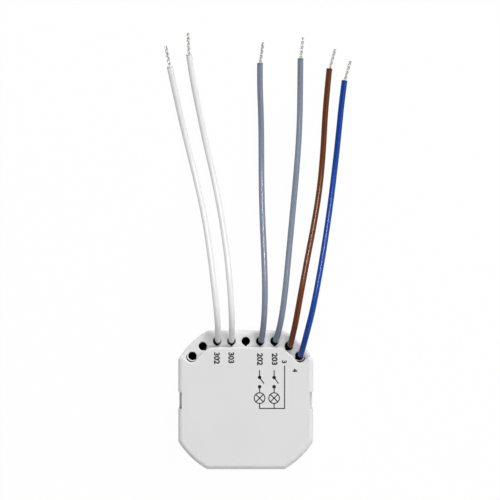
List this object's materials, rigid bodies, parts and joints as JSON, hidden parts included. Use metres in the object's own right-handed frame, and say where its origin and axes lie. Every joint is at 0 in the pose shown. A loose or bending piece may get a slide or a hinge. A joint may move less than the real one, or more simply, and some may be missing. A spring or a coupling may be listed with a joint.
{
  "type": "wireless relay controller",
  "caption": "In-wall wireless relay module: flat snap-together housing with a recessed shelf of lead outlets and flexible leads with stripped, twisted ends.",
  "frame": {"origin": "centre of the housing's flat back face", "axes": "+Z out of the printed face, +Y towards the shelf and the leads, +X to the right of the face"},
  "size_m": [0.0657, 0.1528, 0.0285],
  "materials": {
    "cover_plastic": "fine moulded texture, pale grey",
    "tray_plastic": "fine moulded texture, pale grey",
    "white_insulation": "satin PVC",
    "grey_insulation": "satin PVC",
    "brown_insulation": "satin PVC",
    "blue_insulation": "satin PVC",
    "tinned_copper": "twisted tinned copper strands",
    "board_laminate": "green solder mask",
    "solder": "bright solder",
    "relay_case": "smooth black moulding",
    "relay_moulding": "ivory moulding",
    "soft_iron": "nickel plated iron",
    "contact_bronze": "bronze with silver contacts",
    "copper_wire": "enamelled copper wire",
    "film_box": "yellow moulded box",
    "varistor_coat": "blue dipped coat",
    "resistor_coat": "green cement coat",
    "black_moulding": "black moulding",
    "ferrite": "dull dark ferrite",
    "winding_tape": "yellow tape",
    "can_sleeve": "shrink sleeve on an aluminium can",
    "tin_plate": "tinned sheet",
    "gold_copper": "gold plated strip",
    "chip_ceramic": "small fired chips"
  },
  "bodies": {
    "housing": {"blue_lead": "blue_insulation", "blue_lead_end": "tinned_copper", "bridge_rectifier": "black_moulding", "brown_lead": "brown_insulation", "brown_lead_end": "tinned_copper", "choke_core": "ferrite", "choke_winding": "copper_wire", "film_capacitor": "film_box", "front_cover": "cover_plastic", "fuse_resistor": "resistor_coat", "grey_lead_1": "grey_insulation", "grey_lead_1_end": "tinned_copper", "grey_lead_2": "grey_insulation", "grey_lead_2_end": "tinned_copper", "main_board": "board_laminate", "radio_antenna": "gold_copper", "radio_board": "board_laminate", "radio_chip": "black_moulding", "radio_crystal": "tin_plate", "radio_header": "black_moulding", "radio_shield": "tin_plate", "rear_tray": "tray_plastic", "relay_1_base": "relay_moulding", "relay_1_bobbin": "relay_moulding", "relay_1_case": "relay_case", "relay_1_coil": "copper_wire", "relay_1_core": "soft_iron", "relay_1_fixed_contact": "contact_bronze", "relay_1_pins": "solder", "relay_1_yoke": "soft_iron", "relay_2_base": "relay_moulding", "relay_2_bobbin": "relay_moulding", "relay_2_case": "relay_case", "relay_2_coil": "copper_wire", "relay_2_core": "soft_iron", "relay_2_fixed_contact": "contact_bronze", "relay_2_pins": "solder", "relay_2_yoke": "soft_iron", "smd_parts": "chip_ceramic", "smoothing_capacitor_1": "can_sleeve", "smoothing_capacitor_2": "can_sleeve", "solder_joints": "solder", "transformer_bobbin": "black_moulding", "transformer_core": "ferrite", "transformer_winding": "winding_tape", "varistor": "varistor_coat", "white_lead_1": "white_insulation", "white_lead_1_end": "tinned_copper", "white_lead_2": "white_insulation", "white_lead_2_end": "tinned_copper"},
    "relay_1_armature": {"relay_1_armature": "soft_iron", "relay_1_contact_spring": "contact_bronze"},
    "relay_2_armature": {"relay_2_armature": "soft_iron", "relay_2_contact_spring": "contact_bronze"}
  },
  "joints": [
    {"name": "relay_1_switch", "type": "hinge", "parent": "housing", "child": "relay_1_armature", "pos_m": [-0.0084, 0.01345, 0.0172], "axis": [0, 1, 0], "range_deg": [0, 3], "stiffness_Nm_per_rad": 0.002, "springref_deg": -5.73},
    {"name": "relay_2_switch", "type": "hinge", "parent": "housing", "child": "relay_2_armature", "pos_m": [-0.0084, 0.00585, 0.0172], "axis": [0, 1, 0], "range_deg": [0, 3], "stiffness_Nm_per_rad": 0.002, "springref_deg": -5.73}
  ]
}
